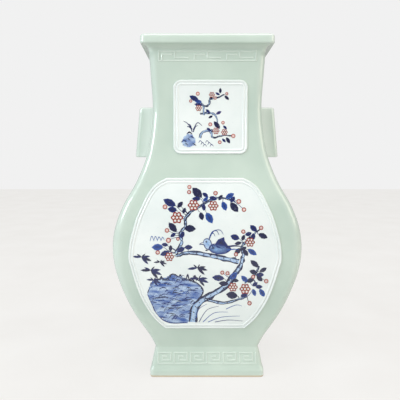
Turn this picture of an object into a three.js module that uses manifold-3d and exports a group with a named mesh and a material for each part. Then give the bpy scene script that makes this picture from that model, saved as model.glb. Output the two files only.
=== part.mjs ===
// A celadon hu vase of rectangular section: four pressed walls on a splayed foot, an everted lip,
// two open lugs on the neck, bands of key fret in relief and white panels in raised double borders.
// Millimetres, +Z up, the painted front faces -Y, the origin is at the middle of the foot's underside.

import * as THREE from 'three';
import { mergeVertices } from 'three/addons/utils/BufferGeometryUtils.js';
import Module from 'manifold-3d';

const wasm = await Module();
wasm.setup();

// Clearances and thicknesses
const seam = 0.3;
const wallThickness = 6;
const floorThickness = 7;

// Half width and half depth of the pressed walls at their heights, from the waist to the mouth
const waist = { height: 35, halfWidth: 61.8, halfDepth: 46 };
const flareStart = { height: 49, halfWidth: 68.3, halfDepth: 49 };
const bellyLow = { height: 78, halfWidth: 85.6, halfDepth: 55.5 };
const bellyUnder = { height: 105, halfWidth: 97.8, halfDepth: 60 };
const bellyFlank = { height: 131.5, halfWidth: 106.5, halfDepth: 62.4 };
const belly = { height: 157, halfWidth: 109.8, halfDepth: 63 };
const bellyOver = { height: 182.5, halfWidth: 106.5, halfDepth: 62 };
const shoulder = { height: 207.5, halfWidth: 97.2, halfDepth: 59 };
const shoulderTurn = { height: 232, halfWidth: 83.5, halfDepth: 54 };
const neckBase = { height: 252, halfWidth: 74.8, halfDepth: 49.8 };
const neckLow = { height: 272, halfWidth: 68.7, halfDepth: 46.4 };
const neckMiddle = { height: 307.5, halfWidth: 63.9, halfDepth: 43 };
const neckNarrow = { height: 327.5, halfWidth: 63.5, halfDepth: 42.5 };
const neckUpper = { height: 357, halfWidth: 65.3, halfDepth: 43.8 };
const neckTop = { height: 384, halfWidth: 66.7, halfDepth: 45.5 };
const cornerAtWaist = 5;
const cornerAtBelly = 11;
const cornerAtNeck = 8;

// Lip
const vaseHeight = 400;
const lipOverhang = 8.6;
const lipFaceHeight = 10.5;
const lipTopWidth = 10;
const lipCorner = 5;
const lipRounding = 1.6;

// Foot
const footSplay = 4.7;
const footLipProud = 1.8;
const footLipHeight = 9;
const footBandTop = 31;
const footBandBottom = 13;
const footRingWidth = 10;
const footLedge = 4;

// Lugs
const lugBottom = 263;
const lugTop = 323;
const lugReachBottom = 87.6;
const lugReachTop = 81.8;
const lugDepth = 30;
const lugWall = 4;
const lugRounding = 4;
const lugSeam = 0.6;

// White panels and their raised borders
const borderWidth = 6.6;
const borderRelief = 1.5;
const grooveDepth = 1;
const fieldThickness = 0.7;
const neckPanelTop = 351;
const neckPanelBottom = 266.5;
const neckPanelHalfWidth = 42.8;
const neckFieldCorner = 2;
const neckPanelShift = 3.8;
const bellyPanelTop = 239.5;
const bellyPanelBottom = 60.5;
const bellyPanelHeadHalfWidth = 44;
const bellyPanelHalfWidth = 87.8;
const bellyPanelFootHalfWidth = 46.9;
const bellyPanelShift = -2.5;

// Key fret
const fretRelief = 0.8;
const fretStroke = 1.7;
const rimFretBottom = 371;
const rimFretTop = 383;
const rimFretPitch = 28;
const footFretBottom = 15.5;
const footFretTop = 29.5;
const footFretPitch = 18;
const fretEndMargin = 3;

// Fineness of the facets
const wallLevels = 22;
const cornerSteps = 3;
const panelStep = 11;

const celadon = new THREE.MeshStandardMaterial({ color: 0xc6d5c8, roughness: 0.16, metalness: 0 });
const whiteGlaze = new THREE.MeshStandardMaterial({ color: 0xe9efed, roughness: 0.14, metalness: 0 });
const bareFoot = new THREE.MeshStandardMaterial({ color: 0xd2c5af, roughness: 0.7, metalness: 0 });

const wallStations = [waist, flareStart, bellyLow, bellyUnder, bellyFlank, belly, bellyOver, shoulder,
  shoulderTurn, neckBase, neckLow, neckMiddle, neckNarrow, neckUpper, neckTop];

// A smooth curve through the stations, read off at one height
function stationValue(height, key) {
  const last = wallStations.length - 1;
  const next = wallStations.findIndex((station) => station.height > height);
  const upper = next < 0 ? last : Math.max(next, 1);
  const slope = (index) => {
    const below = wallStations[Math.max(index - 1, 0)];
    const above = wallStations[Math.min(index + 1, last)];
    return (above[key] - below[key]) / (above.height - below.height);
  };
  const start = wallStations[upper - 1];
  const end = wallStations[upper];
  const span = end.height - start.height;
  const t = (height - start.height) / span;
  const startWeight = 2 * t ** 3 - 3 * t ** 2 + 1;
  const startPull = t ** 3 - 2 * t ** 2 + t;
  const endPull = t ** 3 - t ** 2;
  return startWeight * start[key] + (1 - startWeight) * end[key]
    + span * (startPull * slope(upper - 1) + endPull * slope(upper));
}

// Corner radius of the walls: small at the waist, largest at the belly, smaller again up the neck
function cornerAt(height) {
  if (height < belly.height) {
    const rise = (height - waist.height) / (belly.height - waist.height);
    return THREE.MathUtils.lerp(cornerAtWaist, cornerAtBelly, rise);
  }
  const rise = Math.min((height - belly.height) / (neckLow.height - belly.height), 1);
  return THREE.MathUtils.lerp(cornerAtBelly, cornerAtNeck, rise);
}

function sectionAt(height) {
  return {
    z: height,
    w: stationValue(height, 'halfWidth'),
    d: stationValue(height, 'halfDepth'),
    r: cornerAt(height),
  };
}

// The same section grown outwards, or inwards where the amount is negative, round the same corner centres
function grown(section, amount) {
  return { z: section.z, w: section.w + amount, d: section.d + amount, r: Math.max(section.r + amount, 0.8) };
}

// The same section stepped outwards or inwards at another height, with its corners as crisp as before
function stepped(section, amount, z) {
  return { z, w: section.w + amount, d: section.d + amount, r: section.r };
}

// Triangles that fill a closed outline, each in the outline's own direction
function fillFaces(outline) {
  const direction = Math.sign(THREE.ShapeUtils.area(outline));
  return THREE.ShapeUtils.triangulateShape(outline, []).map((face) => {
    const turned = Math.sign(THREE.ShapeUtils.area(face.map((index) => outline[index])));
    return turned === direction ? face : [face[0], face[2], face[1]];
  });
}

function closedGeometry(points, faces) {
  let volume = 0;
  for (const [a, b, c] of faces) {
    volume += points[a].dot(new THREE.Vector3().crossVectors(points[b], points[c]));
  }
  const facing = volume > 0 ? faces : faces.map(([a, b, c]) => [a, c, b]);
  const geometry = new THREE.BufferGeometry();
  geometry.setAttribute('position', new THREE.Float32BufferAttribute(points.flatMap((p) => p.toArray()), 3));
  geometry.setIndex(facing.flat());
  geometry.computeVertexNormals();
  return geometry;
}

function skinFaces(ringCount, pointCount, closed) {
  const faces = [];
  const bands = closed ? ringCount : ringCount - 1;
  for (let ring = 0; ring < bands; ring += 1) {
    const here = ring * pointCount;
    const there = ((ring + 1) % ringCount) * pointCount;
    for (let index = 0; index < pointCount; index += 1) {
      const next = (index + 1) % pointCount;
      faces.push([here + index, here + next, there + next]);
      faces.push([here + index, there + next, there + index]);
    }
  }
  return faces;
}

// A skin over a row of alike rings, with an end filled at each side
function loft(rings, endFaces) {
  const count = rings[0].length;
  const faces = skinFaces(rings.length, count, false);
  const lastRing = (rings.length - 1) * count;
  for (const [a, b, c] of endFaces) {
    faces.push([a, c, b]);
    faces.push([lastRing + a, lastRing + b, lastRing + c]);
  }
  return closedGeometry(rings.flat(), faces);
}

// Sides of the vase: each is drawn as the front and turned about the middle
const sides = {
  front: { turn: 0, span: 'w', reach: 'd' },
  right: { turn: Math.PI / 2, span: 'd', reach: 'w' },
  back: { turn: Math.PI, span: 'w', reach: 'd' },
  left: { turn: -Math.PI / 2, span: 'd', reach: 'w' },
};

// One mitred side of a four-sided form whose cross-section is the closed outline given as sections
function mitredSide(side, outline) {
  const rings = [];
  for (const hand of [-1, 1]) {
    for (let step = 0; step <= cornerSteps; step += 1) {
      const share = hand < 0 ? 1 - step / cornerSteps : step / cornerSteps;
      const angle = share * Math.PI / 4;
      const isMitre = share === 1;
      rings.push(outline.map((section) => {
        const across = section[side.span] - section.r + section.r * Math.sin(angle);
        const out = section[side.reach] - section.r + section.r * Math.cos(angle);
        const shift = isMitre ? seam / 2 * Math.SQRT1_2 : 0;
        return new THREE.Vector3(hand * (across - shift), -(out + shift), section.z);
      }));
    }
  }
  const mitre = rings[0].map((point) => new THREE.Vector2(-point.x - point.y, point.z));
  return loft(rings, fillFaces(mitre));
}

function wallOutline() {
  const bottom = waist.height + seam;
  const outer = [];
  const inner = [];
  for (let level = 0; level <= wallLevels; level += 1) {
    const section = sectionAt(THREE.MathUtils.lerp(bottom, neckTop.height, level / wallLevels));
    outer.push(section);
    inner.unshift(grown(section, -wallThickness));
  }
  return [...outer, ...inner];
}

// Everted lip: hollow moulding under it, upright face, flat top and a sloped inner edge
function lipOutline() {
  const neck = { ...sectionAt(neckTop.height), r: lipCorner };
  const seat = neckTop.height + seam;
  const faceBottom = vaseHeight - lipFaceHeight;
  const outline = [stepped(neck, -wallThickness, seat), stepped(neck, 0, seat)];
  for (const turn of [0.33, 0.67, 1]) {
    const angle = turn * Math.PI / 2;
    const out = (lipOverhang - lipRounding / 2) * (1 - Math.cos(angle));
    outline.push(stepped(neck, out, seat + (faceBottom - seat) * Math.sin(angle)));
  }
  outline.push(stepped(neck, lipOverhang, faceBottom + lipRounding));
  outline.push(stepped(neck, lipOverhang, vaseHeight - lipRounding));
  outline.push(stepped(neck, lipOverhang - lipRounding, vaseHeight));
  outline.push(stepped(neck, lipOverhang - lipTopWidth, vaseHeight));
  outline.push(stepped(neck, lipOverhang - lipTopWidth - lipRounding, vaseHeight - lipRounding));
  return outline;
}

// Splayed foot ring with a flat band for the fret and a heavier lip at the ground
function footOutline() {
  const top = { ...sectionAt(waist.height), r: cornerAtWaist };
  const bandStart = footSplay * (waist.height - footBandTop) / (waist.height - footBandBottom);
  const lipOut = footSplay + footLipProud;
  return [
    stepped(top, -wallThickness - footLedge, waist.height),
    stepped(top, 0, waist.height),
    stepped(top, bandStart, footBandTop),
    stepped(top, footSplay, footBandBottom),
    stepped(top, footSplay + footLipProud / 2, footLipHeight + lipRounding / 2),
    stepped(top, lipOut, footLipHeight - lipRounding / 2),
    stepped(top, lipOut, lipRounding),
    stepped(top, lipOut - lipRounding, 0),
    stepped(top, lipOut - footRingWidth, 0),
    stepped(top, -wallThickness - footLedge, footBandBottom),
  ];
}

function footBandReach(height) {
  return footSplay * (waist.height - height) / (waist.height - footBandBottom);
}

// Floor slab inside the walls, resting on the foot ring's ledge
function floorGeometry() {
  const section = sectionAt(waist.height);
  const inner = wallThickness + seam;
  const shape = new THREE.Shape();
  const w = section.w - inner;
  const d = section.d - inner;
  shape.moveTo(-w, -d);
  shape.lineTo(w, -d);
  shape.lineTo(w, d);
  shape.lineTo(-w, d);
  shape.closePath();
  const geometry = new THREE.ExtrudeGeometry(shape, { depth: floorThickness, bevelEnabled: false });
  geometry.translate(0, 0, waist.height + seam);
  return geometry;
}

// Upright lug, open at the top and bottom, whose open side is luted to the neck; drawn on the right
function lugGeometry() {
  const rings = [];
  const heights = [lugBottom, lugBottom + lipRounding];
  const steps = 5;
  for (let step = 1; step < steps; step += 1) {
    heights.push(THREE.MathUtils.lerp(lugBottom, lugTop, step / steps));
  }
  heights.push(lugTop - lipRounding, lugTop);
  for (const z of heights) {
    const isEnd = z === lugBottom || z === lugTop;
    const easing = isEnd ? lipRounding / 2 : 0;
    const rise = (z - lugBottom) / (lugTop - lugBottom);
    const root = stationValue(z, 'halfWidth') + lugSeam;
    const reach = THREE.MathUtils.lerp(lugReachBottom, lugReachTop, rise) - easing;
    const half = lugDepth / 2 - easing;
    const innerHalf = lugDepth / 2 - lugWall;
    const ring = [new THREE.Vector3(root, -half, z)];
    for (const hand of [-1, 1]) {
      for (const share of [0, 0.5, 1]) {
        const angle = (hand < 0 ? share : 1 - share) * Math.PI / 2;
        const x = reach - lugRounding + lugRounding * Math.sin(angle);
        const y = half - lugRounding + lugRounding * Math.cos(angle);
        ring.push(new THREE.Vector3(x, hand * y, z));
      }
    }
    ring.push(new THREE.Vector3(root, half, z));
    ring.push(new THREE.Vector3(root, innerHalf, z));
    ring.push(new THREE.Vector3(reach - lugWall + easing, innerHalf, z));
    ring.push(new THREE.Vector3(reach - lugWall + easing, -innerHalf, z));
    ring.push(new THREE.Vector3(root, -innerHalf, z));
    rings.push(ring);
  }
  return loft(rings, fillFaces(rings[0].map((point) => new THREE.Vector2(point.x, point.y))));
}

// Right half of the neck panel's outline, from its head to its foot: a rounded rectangle
function neckPanelHalf() {
  const points = [];
  const r = neckFieldCorner + borderWidth + seam;
  const arcSteps = 3;
  for (let step = 0; step <= arcSteps; step += 1) {
    const angle = step / arcSteps * Math.PI / 2;
    points.push(new THREE.Vector2(neckPanelHalfWidth - r + r * Math.sin(angle), neckPanelTop - r + r * Math.cos(angle)));
  }
  const count = Math.ceil((neckPanelTop - neckPanelBottom) / panelStep);
  for (let step = 1; step < count; step += 1) {
    const z = THREE.MathUtils.lerp(neckPanelTop - r, neckPanelBottom + r, step / count);
    points.push(new THREE.Vector2(neckPanelHalfWidth, z));
  }
  for (let step = arcSteps; step >= 0; step -= 1) {
    const angle = step / arcSteps * Math.PI / 2;
    points.push(new THREE.Vector2(neckPanelHalfWidth - r + r * Math.sin(angle), neckPanelBottom + r - r * Math.cos(angle)));
  }
  return points;
}

// Right half of the belly panel's outline: a shield that follows the belly, flat at head and foot
function bellyPanelHalf() {
  const headSpread = bellyPanelHalfWidth - bellyPanelHeadHalfWidth;
  const footSpread = bellyPanelHalfWidth - bellyPanelFootHalfWidth;
  const widest = bellyPanelBottom + 0.487 * (bellyPanelTop - bellyPanelBottom);
  const upper = [[0, 1], [0.27, 0.93], [0.47, 0.82], [0.66, 0.64], [0.77, 0.52], [0.87, 0.37], [0.96, 0.2]];
  const lower = [[0.94, 0.13], [0.8, 0.37], [0.62, 0.6], [0.37, 0.81], [0.18, 0.92], [0, 1]];
  const points = [
    ...upper.map(([out, up]) => new THREE.Vector2(
      bellyPanelHeadHalfWidth + out * headSpread,
      THREE.MathUtils.lerp(widest, bellyPanelTop, up),
    )),
    new THREE.Vector2(bellyPanelHalfWidth, widest),
    ...lower.map(([out, down]) => new THREE.Vector2(
      bellyPanelFootHalfWidth + out * footSpread,
      THREE.MathUtils.lerp(widest, bellyPanelBottom, down),
    )),
  ];
  return new THREE.SplineCurve(points).getPoints(Math.ceil((bellyPanelTop - bellyPanelBottom) / panelStep) * 2);
}

// The whole outline: the right half downwards, then its mirror image upwards
function wholeOutline(half) {
  const mirrored = half.map((point) => new THREE.Vector2(-point.x, point.y)).reverse();
  return [...half, ...mirrored];
}

function insetOutline(outline, distance) {
  return outline.map((point, index) => {
    const before = outline[(index + outline.length - 1) % outline.length];
    const after = outline[(index + 1) % outline.length];
    const arriving = point.clone().sub(before).normalize();
    const leaving = after.clone().sub(point).normalize();
    const inwardBefore = new THREE.Vector2(arriving.y, -arriving.x);
    const inwardAfter = new THREE.Vector2(leaving.y, -leaving.x);
    const inward = inwardBefore.clone().add(inwardAfter);
    inward.divideScalar(1 + inwardBefore.dot(inwardAfter));
    return point.clone().addScaledVector(inward, distance);
  });
}

// Lays flat outline points on the front face at a height above the wall
function laidOn(outline, lift, shift) {
  return outline.map((point) => {
    const reach = stationValue(point.y, 'halfDepth') + seam + lift;
    return new THREE.Vector3(point.x + shift, -reach, point.y);
  });
}

// Raised border: two ridges with a groove between them, swept round the outline
function borderGeometry(half, shift) {
  const outline = wholeOutline(half);
  const section = [
    [0, 0],
    [borderWidth * 0.2, borderRelief],
    [borderWidth * 0.5, borderRelief - grooveDepth],
    [borderWidth * 0.8, borderRelief],
    [borderWidth, 0],
  ];
  const rings = section.map(([inset, lift]) => laidOn(insetOutline(outline, inset), lift, shift));
  return closedGeometry(rings.flat(), skinFaces(rings.length, outline.length, true));
}

// White field inside the border, filled row by row so that it follows the wall
function fieldGeometry(half, shift) {
  const outline = insetOutline(wholeOutline(half), borderWidth + seam);
  const last = outline.length - 1;
  const rows = [];
  for (let index = 0; index < half.length - 1; index += 1) {
    rows.push([index, index + 1, last - 1 - index]);
    rows.push([index, last - 1 - index, last - index]);
  }
  return loft([laidOn(outline, 0, shift), laidOn(outline, fieldThickness, shift)], rows);
}

function solidFrom(geometry) {
  const bare = geometry.clone();
  bare.deleteAttribute('normal');
  bare.deleteAttribute('uv');
  const merged = mergeVertices(bare);
  return new wasm.Manifold(new wasm.Mesh({
    numProp: 3,
    vertProperties: new Float32Array(merged.attributes.position.array),
    triVerts: new Uint32Array(merged.index.array),
  }));
}

// Bars joined into one piece and laid on a sloping face; a bar runs from one place to another
function barsGeometry(bars, reachAt) {
  let joined = null;
  for (const [x0, z0, x1, z1] of bars) {
    const width = Math.abs(x1 - x0) + fretStroke;
    const tall = Math.abs(z1 - z0) + fretStroke;
    const box = new THREE.BoxGeometry(width, fretRelief, tall);
    box.translate((x0 + x1) / 2, -fretRelief / 2, (z0 + z1) / 2);
    const solid = solidFrom(box);
    joined = joined ? joined.add(solid) : solid;
  }
  const mesh = joined.getMesh();
  const geometry = new THREE.BufferGeometry();
  geometry.setAttribute('position', new THREE.Float32BufferAttribute(mesh.vertProperties, 3));
  geometry.setIndex([...mesh.triVerts]);
  const places = geometry.attributes.position;
  for (let index = 0; index < places.count; index += 1) {
    places.setY(index, places.getY(index) - reachAt(places.getZ(index)) - seam);
  }
  geometry.computeVertexNormals();
  return geometry;
}

// Under the lip: hooks that hang from one rail and hooks that stand on the other, turn about
function rimFretBars(halfSpan) {
  const low = rimFretBottom + fretStroke / 2;
  const high = rimFretTop - fretStroke / 2;
  const count = Math.max(1, Math.floor(2 * halfSpan / rimFretPitch));
  const pitch = 2 * halfSpan / count;
  const third = (high - low) / 3;
  const bars = [[-halfSpan, low, halfSpan, low], [-halfSpan, high, halfSpan, high]];
  for (let unit = 0; unit < count; unit += 1) {
    const start = -halfSpan + unit * pitch;
    const middle = start + pitch / 2;
    bars.push([start + pitch * 0.1, low, start + pitch * 0.1, low + 2 * third]);
    bars.push([start + pitch * 0.1, low + 2 * third, middle - pitch * 0.1, low + 2 * third]);
    bars.push([middle, high, middle, high - 2 * third]);
    bars.push([middle, high - 2 * third, start + pitch * 0.9, high - 2 * third]);
  }
  bars.push([-halfSpan, low, -halfSpan, high], [halfSpan, low, halfSpan, high]);
  return bars;
}

// On the foot: a row of square spirals that rise from a common rail
function footFretBars(halfSpan) {
  const low = footFretBottom + fretStroke / 2;
  const high = footFretTop - fretStroke / 2;
  const count = Math.max(1, Math.floor(2 * halfSpan / footFretPitch));
  const pitch = 2 * halfSpan / count;
  const rise = high - low;
  const bars = [[-halfSpan, low, halfSpan, low]];
  for (let unit = 0; unit < count; unit += 1) {
    const start = -halfSpan + unit * pitch;
    const right = start + pitch * 0.78;
    const inner = start + pitch * 0.26;
    bars.push([start, low, start, high], [start, high, right, high]);
    bars.push([right, high, right, low + rise * 0.3], [inner, low + rise * 0.3, right, low + rise * 0.3]);
    bars.push([inner, low + rise * 0.3, inner, low + rise * 0.66]);
    bars.push([inner, low + rise * 0.66, start + pitch * 0.52, low + rise * 0.66]);
  }
  bars.push([halfSpan, low, halfSpan, high]);
  return bars;
}

const vase = new THREE.Group();

function place(name, geometry, material, turn = 0) {
  const mesh = new THREE.Mesh(geometry, material);
  mesh.name = name;
  mesh.rotation.z = turn;
  vase.add(mesh);
  return mesh;
}

for (const [name, side] of Object.entries(sides)) {
  place(`${name}_wall`, mitredSide(side, wallOutline()), celadon, side.turn);
  place(`${name}_lip`, mitredSide(side, lipOutline()), celadon, side.turn);
  place(`${name}_foot`, mitredSide(side, footOutline()), bareFoot, side.turn);

  const neck = sectionAt(rimFretBottom);
  const rimHalf = neck[side.span] - neck.r - fretEndMargin;
  const rimReach = (z) => sectionAt(z)[side.reach];
  place(`${name}_rim_fret`, barsGeometry(rimFretBars(rimHalf), rimReach), celadon, side.turn);

  const foot = sectionAt(waist.height);
  const footHalf = foot[side.span] - fretEndMargin;
  const footReach = (z) => foot[side.reach] + footBandReach(z);
  place(`${name}_foot_fret`, barsGeometry(footFretBars(footHalf), footReach), celadon, side.turn);
}

place('floor_slab', floorGeometry(), celadon);
place('right_lug', lugGeometry(), celadon);
place('left_lug', lugGeometry(), celadon, Math.PI);

for (const name of ['front', 'back']) {
  const { turn } = sides[name];
  place(`${name}_neck_border`, borderGeometry(neckPanelHalf(), neckPanelShift), whiteGlaze, turn);
  place(`${name}_neck_field`, fieldGeometry(neckPanelHalf(), neckPanelShift), whiteGlaze, turn);
  place(`${name}_belly_border`, borderGeometry(bellyPanelHalf(), bellyPanelShift), whiteGlaze, turn);
  place(`${name}_belly_field`, fieldGeometry(bellyPanelHalf(), bellyPanelShift), whiteGlaze, turn);
}

export default vase;
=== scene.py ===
import bpy
import math
import random
from mathutils import Matrix, Vector, noise


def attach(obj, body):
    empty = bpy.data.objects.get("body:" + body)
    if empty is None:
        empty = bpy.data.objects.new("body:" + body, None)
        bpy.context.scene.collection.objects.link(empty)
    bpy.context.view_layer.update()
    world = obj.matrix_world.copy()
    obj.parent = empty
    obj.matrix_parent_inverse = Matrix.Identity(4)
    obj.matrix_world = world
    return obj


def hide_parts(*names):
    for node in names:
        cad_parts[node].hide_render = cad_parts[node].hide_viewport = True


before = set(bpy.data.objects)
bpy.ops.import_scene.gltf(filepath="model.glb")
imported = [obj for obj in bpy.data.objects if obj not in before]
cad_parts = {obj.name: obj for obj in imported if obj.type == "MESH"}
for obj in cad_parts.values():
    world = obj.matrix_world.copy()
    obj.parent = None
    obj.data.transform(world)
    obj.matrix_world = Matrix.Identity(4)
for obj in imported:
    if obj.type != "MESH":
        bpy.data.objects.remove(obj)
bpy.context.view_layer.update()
mm = 0.001
quarterTurn = math.pi / 2
sides = {"front": (0, -1, 0), "back": (0, 1, 0), "left": (-1, 0, 0), "right": (1, 0, 0)}

# Stands in front of the vase, a little to its left, and looks slightly down
cameraSetup = {
    "place": (-0.0083, -0.5486, 0.2632),
    "pitch": 5.67,               # degrees below level
    "focalPixels": 433.0,
    "imageSize": 400,
    "sensorWidth": 36.0,
}

# Each station has its height, half width and half depth, in millimetres
wallForm = {
    "stations": {
        "waist": (35, 61.8, 46), "flareStart": (49, 68.3, 49), "bellyLow": (78, 85.6, 55.5),
        "bellyUnder": (105, 97.8, 60), "bellyFlank": (131.5, 106.5, 62.4), "belly": (157, 109.8, 63),
        "bellyOver": (182.5, 106.5, 62), "shoulder": (207.5, 97.2, 59), "shoulderTurn": (232, 83.5, 54),
        "neckBase": (252, 74.8, 49.8), "neckLow": (272, 68.7, 46.4), "neckMiddle": (307.5, 63.9, 43),
        "neckNarrow": (327.5, 63.5, 42.5), "neckUpper": (357, 65.3, 43.8), "neckTop": (384, 66.7, 45.5),
    },
    "thickness": 6,
    "floorTop": 42.3,
    "floorUnder": 35.3,
    "floorClear": 4,
    "floorRounding": [(0, 3), (1, 1), (3, 0)],
    "cornerAtWaist": 5,
    "cornerAtBelly": 11,
    "cornerAtNeck": 8,
    "innerCorner": 1.5,
    "levelStep": 4,
    "levelMargin": 2,            # how far the plain levels stay off the waist and the lip
    "innerStep": 6,
    "cornerSteps": 7,
    "flatShares": (0.02, 0.25, 0.5, 0.75, 0.98),
}
stationRows = list(wallForm["stations"].values())


def between(start, end, share):
    return start + (end - start) * share


# The walls' smooth curve through the stations
def wallAt(height, column):
    last = len(stationRows) - 1
    upper = max(next((i for i, row in enumerate(stationRows) if row[0] > height), last), 1)

    def slope(i):
        below = stationRows[max(i - 1, 0)]
        above = stationRows[min(i + 1, last)]
        return (above[column] - below[column]) / (above[0] - below[0])

    start = stationRows[upper - 1]
    end = stationRows[upper]
    span = end[0] - start[0]
    t = (height - start[0]) / span
    weight = 2 * t ** 3 - 3 * t ** 2 + 1
    pull = (t ** 3 - 2 * t ** 2 + t) * slope(upper - 1) + (t ** 3 - t ** 2) * slope(upper)
    return weight * start[column] + (1 - weight) * end[column] + span * pull


def halfWidthAt(height):
    return wallAt(height, 1)


def halfDepthAt(height):
    return wallAt(height, 2)


def cornerAt(height):
    low = wallForm["stations"]["waist"][0]
    middle = wallForm["stations"]["belly"][0]
    high = wallForm["stations"]["neckLow"][0]
    if height < middle:
        return between(wallForm["cornerAtWaist"], wallForm["cornerAtBelly"],
                       (height - low) / (middle - low))
    share = min((height - middle) / (high - middle), 1)
    return between(wallForm["cornerAtBelly"], wallForm["cornerAtNeck"], share)


def linked(name, data):
    made = bpy.data.objects.new(name, data)
    bpy.context.scene.collection.objects.link(made)
    return made


sharpAngle = 38                  # degrees; a crease steeper than this stays crisp under the glaze


def newPiece(name, points, faces, material):
    mesh = bpy.data.meshes.new(name)
    mesh.from_pydata([(x * mm, y * mm, z * mm) for x, y, z in points], [], faces)
    mesh.validate()
    mesh.update()
    mesh.shade_smooth()
    mesh.set_sharp_from_angle(angle=math.radians(sharpAngle))
    mesh.materials.append(material)
    piece = linked(name, mesh)
    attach(piece, "root")
    return piece


# Node helpers for the procedural glazes
def nodeOf(tree, kind, **values):
    node = tree.nodes.new(kind)
    for key, value in values.items():
        if key in node.inputs:
            node.inputs[key].default_value = value
        else:
            setattr(node, key, value)
    return node


# Where the Mix node keeps its colour sockets
mixSockets = {"factor": 0, "first": 6, "second": 7, "result": 2}


def mixOf(tree, factor, first, second, blend="MIX"):
    node = nodeOf(tree, "ShaderNodeMix", data_type="RGBA", blend_type=blend)
    for name, value in (("factor", factor), ("first", first), ("second", second)):
        socket = node.inputs[mixSockets[name]]
        if isinstance(value, bpy.types.NodeSocket):
            tree.links.new(value, socket)
        else:
            socket.default_value = value
    return node.outputs[mixSockets["result"]]


def ramped(tree, source, low, high):
    node = nodeOf(tree, "ShaderNodeMapRange")
    node.inputs["From Min"].default_value = low
    node.inputs["From Max"].default_value = high
    tree.links.new(source, node.inputs["Value"])
    return node.outputs["Result"]


def noiseOf(tree, coordinates, scale, detail=3.0):
    node = nodeOf(tree, "ShaderNodeTexNoise", Scale=scale, Detail=detail)
    tree.links.new(coordinates, node.inputs["Vector"])
    return node.outputs["Fac"]


# Turns a screen colour, 0 to 255, into Blender's linear values
def linear(red, green, blue):
    shares = [value / 255 for value in (red, green, blue)]
    return tuple(s / 12.92 if s <= 0.04045 else ((s + 0.055) / 1.055) ** 2.4 for s in shares) + (1.0,)


def newMaterial(name):
    material = bpy.data.materials.new(name)
    material.use_nodes = True
    tree = material.node_tree
    shader = tree.nodes["Principled BSDF"]
    shader.inputs["Roughness"].default_value = glazeLook["roughness"]
    shader.inputs["Coat Weight"].default_value = glazeLook["coat"]
    shader.inputs["Coat Roughness"].default_value = glazeLook["coatRoughness"]
    shader.inputs["IOR"].default_value = glazeLook["ior"]
    return material, tree, shader, nodeOf(tree, "ShaderNodeTexCoord").outputs["Object"]


def addBump(tree, shader, height, strength, distance):
    bump = nodeOf(tree, "ShaderNodeBump", Strength=strength, Distance=distance)
    tree.links.new(height, bump.inputs["Height"])
    tree.links.new(bump.outputs["Normal"], shader.inputs["Normal"])


glazeLook = {
    "roughness": 0.2, "coat": 0.7, "coatRoughness": 0.06, "ior": 1.5,
    "pale": linear(201, 216, 204),
    "deep": linear(184, 202, 190),
    "thin": linear(226, 236, 228),
    "tan": linear(205, 189, 163),
    "tanEdge": 0.0030,           # metres above the ground where the bare foot ends
}


def makeCeladon():
    material, tree, shader, place = newMaterial("celadonGlaze")
    cloud = noiseOf(tree, place, 14.0)
    fleck = noiseOf(tree, place, 260.0, 5.0)
    tone = mixOf(tree, ramped(tree, cloud, 0.3, 0.7), glazeLook["deep"], glazeLook["pale"])
    tone = mixOf(tree, ramped(tree, fleck, 0.7, 1.3), tone, glazeLook["thin"])
    ridge = nodeOf(tree, "ShaderNodeNewGeometry").outputs["Pointiness"]
    tone = mixOf(tree, ramped(tree, ridge, 0.505, 0.56), tone, glazeLook["thin"])
    split = nodeOf(tree, "ShaderNodeSeparateXYZ")
    tree.links.new(place, split.inputs["Vector"])
    bare = ramped(tree, split.outputs["Z"], glazeLook["tanEdge"], glazeLook["tanEdge"] * 0.6)
    tone = mixOf(tree, bare, tone, glazeLook["tan"])
    tree.links.new(tone, shader.inputs["Base Color"])
    addBump(tree, shader, noiseOf(tree, place, 55.0, 2.0), 0.12, 0.002)
    return material


def makeWhite():
    material, tree, shader, place = newMaterial("whiteGlaze")
    cloud = noiseOf(tree, place, 22.0)
    tone = mixOf(tree, ramped(tree, cloud, 0.3, 0.7), linear(226, 234, 232), linear(238, 243, 241))
    fleck = noiseOf(tree, place, 420.0, 4.0)
    tone = mixOf(tree, ramped(tree, fleck, 0.68, 0.8), tone, linear(210, 220, 222))
    tree.links.new(tone, shader.inputs["Base Color"])
    addBump(tree, shader, noiseOf(tree, place, 70.0, 2.0), 0.1, 0.0015)
    return material


# Pigment under the glaze: its colour comes from the strokes, broken up as a wash settles
def makePigment():
    material, tree, shader, place = newMaterial("paintedGlaze")
    ink = nodeOf(tree, "ShaderNodeVertexColor", layer_name="ink").outputs["Color"]
    heap = noiseOf(tree, place, 900.0, 4.0)
    dark = mixOf(tree, 1.0, ink, linear(170, 182, 214), "MULTIPLY")
    tone = mixOf(tree, ramped(tree, heap, 0.45, 0.75), ink, dark)
    thin = mixOf(tree, 0.14, ink, linear(232, 238, 238))
    tone = mixOf(tree, ramped(tree, noiseOf(tree, place, 420.0), 0.6, 0.8), tone, thin)
    tree.links.new(tone, shader.inputs["Base Color"])
    return material


celadon = makeCeladon()
white = makeWhite()
pigment = makePigment()
print("glazes made")


# A rounded rectangle at one height, with extra points near each corner to keep the flats flat
def ringPoints(halfWidth, halfDepth, radius, z):
    steps = wallForm["cornerSteps"]
    points = []
    for sx, sy, start in ((1, -1, -90), (1, 1, 0), (-1, 1, 90), (-1, -1, 180)):
        for step in range(steps + 1):
            angle = math.radians(start + 90 * step / steps)
            x = sx * (halfWidth - radius) + radius * math.cos(angle)
            y = sy * (halfDepth - radius) + radius * math.sin(angle)
            points.append((x, y, z))
    full = []
    for index, point in enumerate(points):
        full.append(point)
        if index % (steps + 1) == steps:
            nextPoint = points[(index + 1) % len(points)]
            for share in wallForm["flatShares"]:
                full.append(tuple(between(a, b, share) for a, b in zip(point, nextPoint)))
    return full


easing = {"steps": 4, "mostOfSpan": 0.45}


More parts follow.
